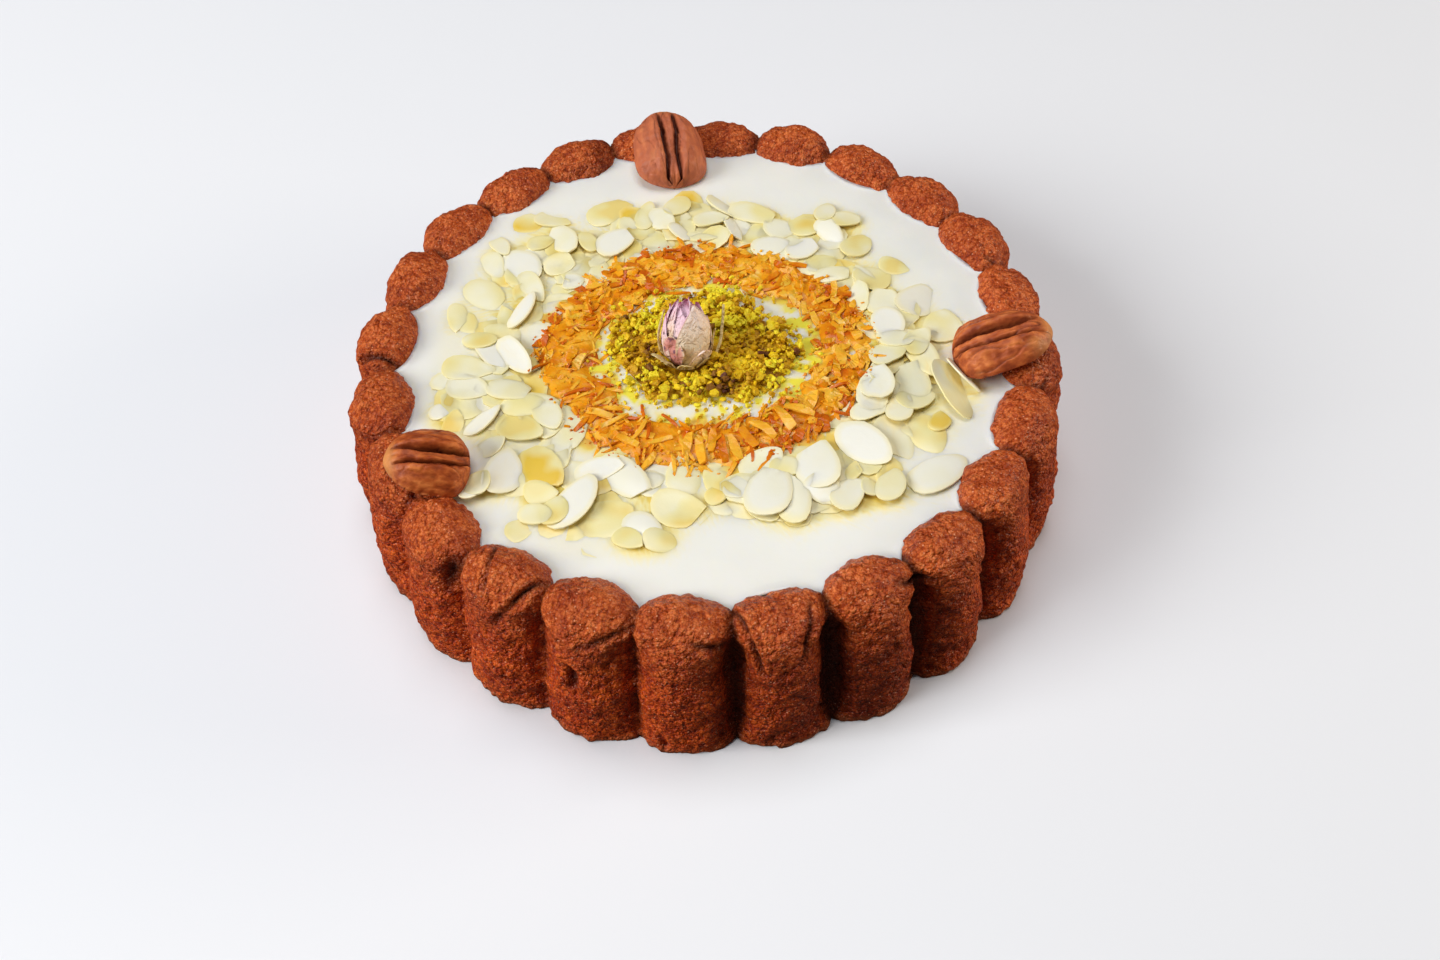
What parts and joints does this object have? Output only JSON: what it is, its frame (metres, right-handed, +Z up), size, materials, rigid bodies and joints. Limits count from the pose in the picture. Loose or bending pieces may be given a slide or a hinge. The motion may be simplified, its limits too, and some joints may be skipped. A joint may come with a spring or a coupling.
{
  "type": "fluted date cake with cream and nuts",
  "caption": "Round fluted date cake with a cream-filled top, rings of flaked almonds and toasted coconut, ground pistachio, pecan halves and a dried rosebud.",
  "frame": {"origin": "middle of the cake's underside, on the surface it stands on", "axes": "+Z up; the front of the cake faces -Y; +X is to the right seen from the front"},
  "size_m": [0.2194, 0.2194, 0.0637],
  "materials": {
    "sponge": "dark reddish-brown baked date sponge, fine rough crumb with a sugary bloom, matte",
    "cream": "smooth warm white cream, softly glossy, with faint yellow syrup stains",
    "almond": "thin flaked almonds, ivory to pale yellow, slightly translucent and satin",
    "coconut": "toasted shredded coconut, translucent orange, moist",
    "pistachio": "ground pistachio, yellow-green with olive and brown bits",
    "pecan": "pecan halves, red-brown wrinkled skin, satin",
    "petal": "dried rose petals, dusty cream and pink with a violet tip, papery"
  },
  "bodies": {
    "root": {"sponge": "sponge", "cream": "cream", "almond_ring": "almond", "coconut_ring": "coconut", "pistachio_heap": "pistachio", "pecan_back": "pecan", "pecan_right": "pecan", "pecan_left": "pecan", "rosebud": "petal"}
  },
  "joints": []
}
